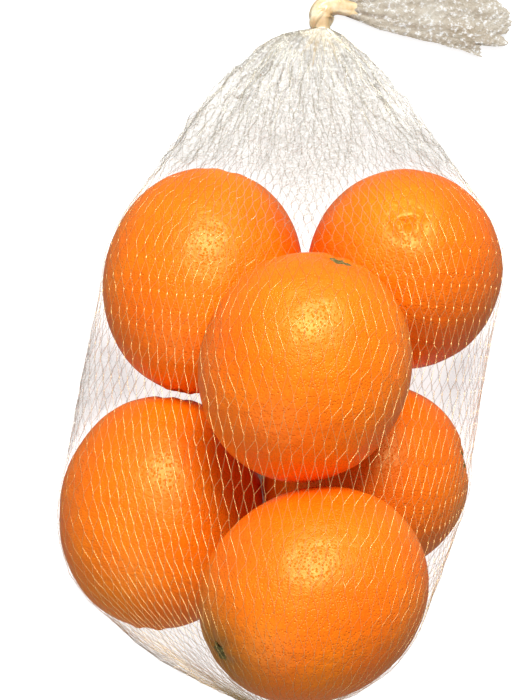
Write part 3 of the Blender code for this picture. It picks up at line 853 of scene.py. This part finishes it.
def build_closure(tail_film, knot_film, metal):
    """The gathered bottom end, the crimped wire clip and the frayed tuft."""
    x, _, z = CLOSURE
    line = np.array([(x, y, z) for y in np.linspace(-137.2, -147.0, 30)])
    size = between(line, ((0, 3.4), (0.35, 2.7), (0.6, 2.55), (0.8, 2.7), (1, 3.4)))
    points, quads = closed_tube(*fluted_tube(line, size, size, 9, 0.09, 0.8, 0.0))
    gather = mesh_object("gather_film", points, quads, knot_film)
    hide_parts("bottom_gather")
    angle = np.linspace(0.16, math.tau - 0.16, 90)
    ring_y = np.full(90, -143.0) + 0.5 * np.cos(angle)
    ring = np.stack([x + 3.9 * np.sin(angle), ring_y, z + 3.9 * np.cos(angle)], axis=1)
    size = between(ring, ((0, 0.55), (0.05, 0.95), (0.95, 0.95), (1, 0.55)))
    points, quads = closed_tube(*fluted_tube(ring, size, size * 0.92, 2, 0.03, 0.0, 0.0, 24))
    clip = mesh_object("clip_wire", points, quads, metal)
    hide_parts("bottom_clip")
    rows = np.arange(3)[:, None]
    turn = math.tau * (np.arange(STRANDS)[None, :] + 0.5 * (rows % 2)) / STRANDS
    radius = np.array([2.5, 4.2, 6.4])[:, None] * (1.0 + 0.14 * np.sin(7 * turn + 1.0))
    y = np.array([-144.8, -148.6, -151.6])[:, None] + 0.5 * np.sin(5 * turn + rows)
    tuft = np.stack([x + radius * np.cos(turn), y + 0.0 * turn, z + radius * np.sin(turn)], axis=-1)
    tuft += RNG.normal(size=tuft.shape) * np.array([0.05, 0.3, 0.5])[:, None, None]
    tuft[..., 1] = np.maximum(tuft[..., 1], TUFT_END)
    fray = strand_mesh("tuft_strands", tuft, tail_film)
    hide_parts("bottom_tuft")
    for piece in (gather, clip, fray):
        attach(piece, "bag")


# ---------------------------------------------------------------- stage


def build_stage():
    bpy.ops.mesh.primitive_plane_add(size=6.0, location=(0.0, 0.0, -0.0002))
    floor = bpy.context.object
    floor.name = "floor"
    mat, nodes, links, shader = new_material("floor_white")
    shader.inputs["Base Color"].default_value = (0.5, 0.5, 0.5, 1.0)
    shader.inputs["Roughness"].default_value = 0.9
    shader.inputs["Specular IOR Level"].default_value = 0.0
    # The floor glows evenly white, except for a dark disk under the gap between the four lower oranges:
    # painted shade where the fruit stands close.
    where = nodes.new("ShaderNodeTexCoord")
    from_gap = nodes.new("ShaderNodeVectorMath")
    from_gap.operation = "DISTANCE"
    links.new(where.outputs["Object"], from_gap.inputs[0])
    from_gap.inputs[1].default_value = (-0.0105, -0.049, 0.0)
    emission_with_painted_shade = ramp(nodes, links, from_gap.outputs["Value"], ((0.014, (0.0,) * 3), (0.024, (1.0,) * 3)))
    links.new(emission_with_painted_shade.outputs["Color"], shader.inputs["Emission Color"])
    shader.inputs["Emission Strength"].default_value = 0.85
    floor.data.materials.append(mat)
    floor.visible_diffuse = False
    floor.visible_glossy = False


def area_light(name, place, aim, size, power):
    light = bpy.data.lights.new(name, "AREA")
    light.shape = "DISK"
    light.size = size
    light.energy = power
    obj = bpy.data.objects.new(name, light)
    bpy.context.scene.collection.objects.link(obj)
    obj.location = place
    obj.rotation_euler = (Vector(aim) - Vector(place)).to_track_quat("-Z", "Y").to_euler()


def build_lights():
    area_light("key", (0.08, 0.66, 0.92), (0.0, 0.0, 0.06), 0.60, 17.5)
    area_light("fill", (-0.5, -0.8, 0.7), (0.0, 0.0, 0.05), 0.9, 2.5)
    world = bpy.data.worlds.new("studio")
    bpy.context.scene.world = world
    world.use_nodes = True
    world.node_tree.nodes["Background"].inputs["Color"].default_value = (1.0, 1.0, 1.0, 1.0)
    world.node_tree.nodes["Background"].inputs["Strength"].default_value = 0.30
    bpy.context.scene.view_settings.view_transform = "Standard"


def build_camera():
    """Straight above the bag, with the knot at the top of the picture."""
    camera = bpy.data.cameras.new("camera")
    camera.lens = 132.0
    camera.sensor_width = 36.0
    camera.clip_start = 0.01
    obj = bpy.data.objects.new("camera", camera)
    bpy.context.scene.collection.objects.link(obj)
    obj.location = (-0.0105, 0.004, 1.039)
    obj.rotation_euler = (0.0, 0.0, 0.0)
    bpy.context.scene.camera = obj


build_camera()
build_stage()
build_lights()
build_oranges()
net_film = net_material("net_film_look", (1.0, 0.95, 0.80), (0.96, 0.88, 0.70))
tail_film = tail_material("tail_film_look")
knot_film = knot_material("knot_film_look")
build_frost(build_net(net_film), frost_material("net_frost_look"))
build_knot(knot_film)
build_tail(tail_film)
build_closure(tail_film, knot_film, metal_material("clip_look"))
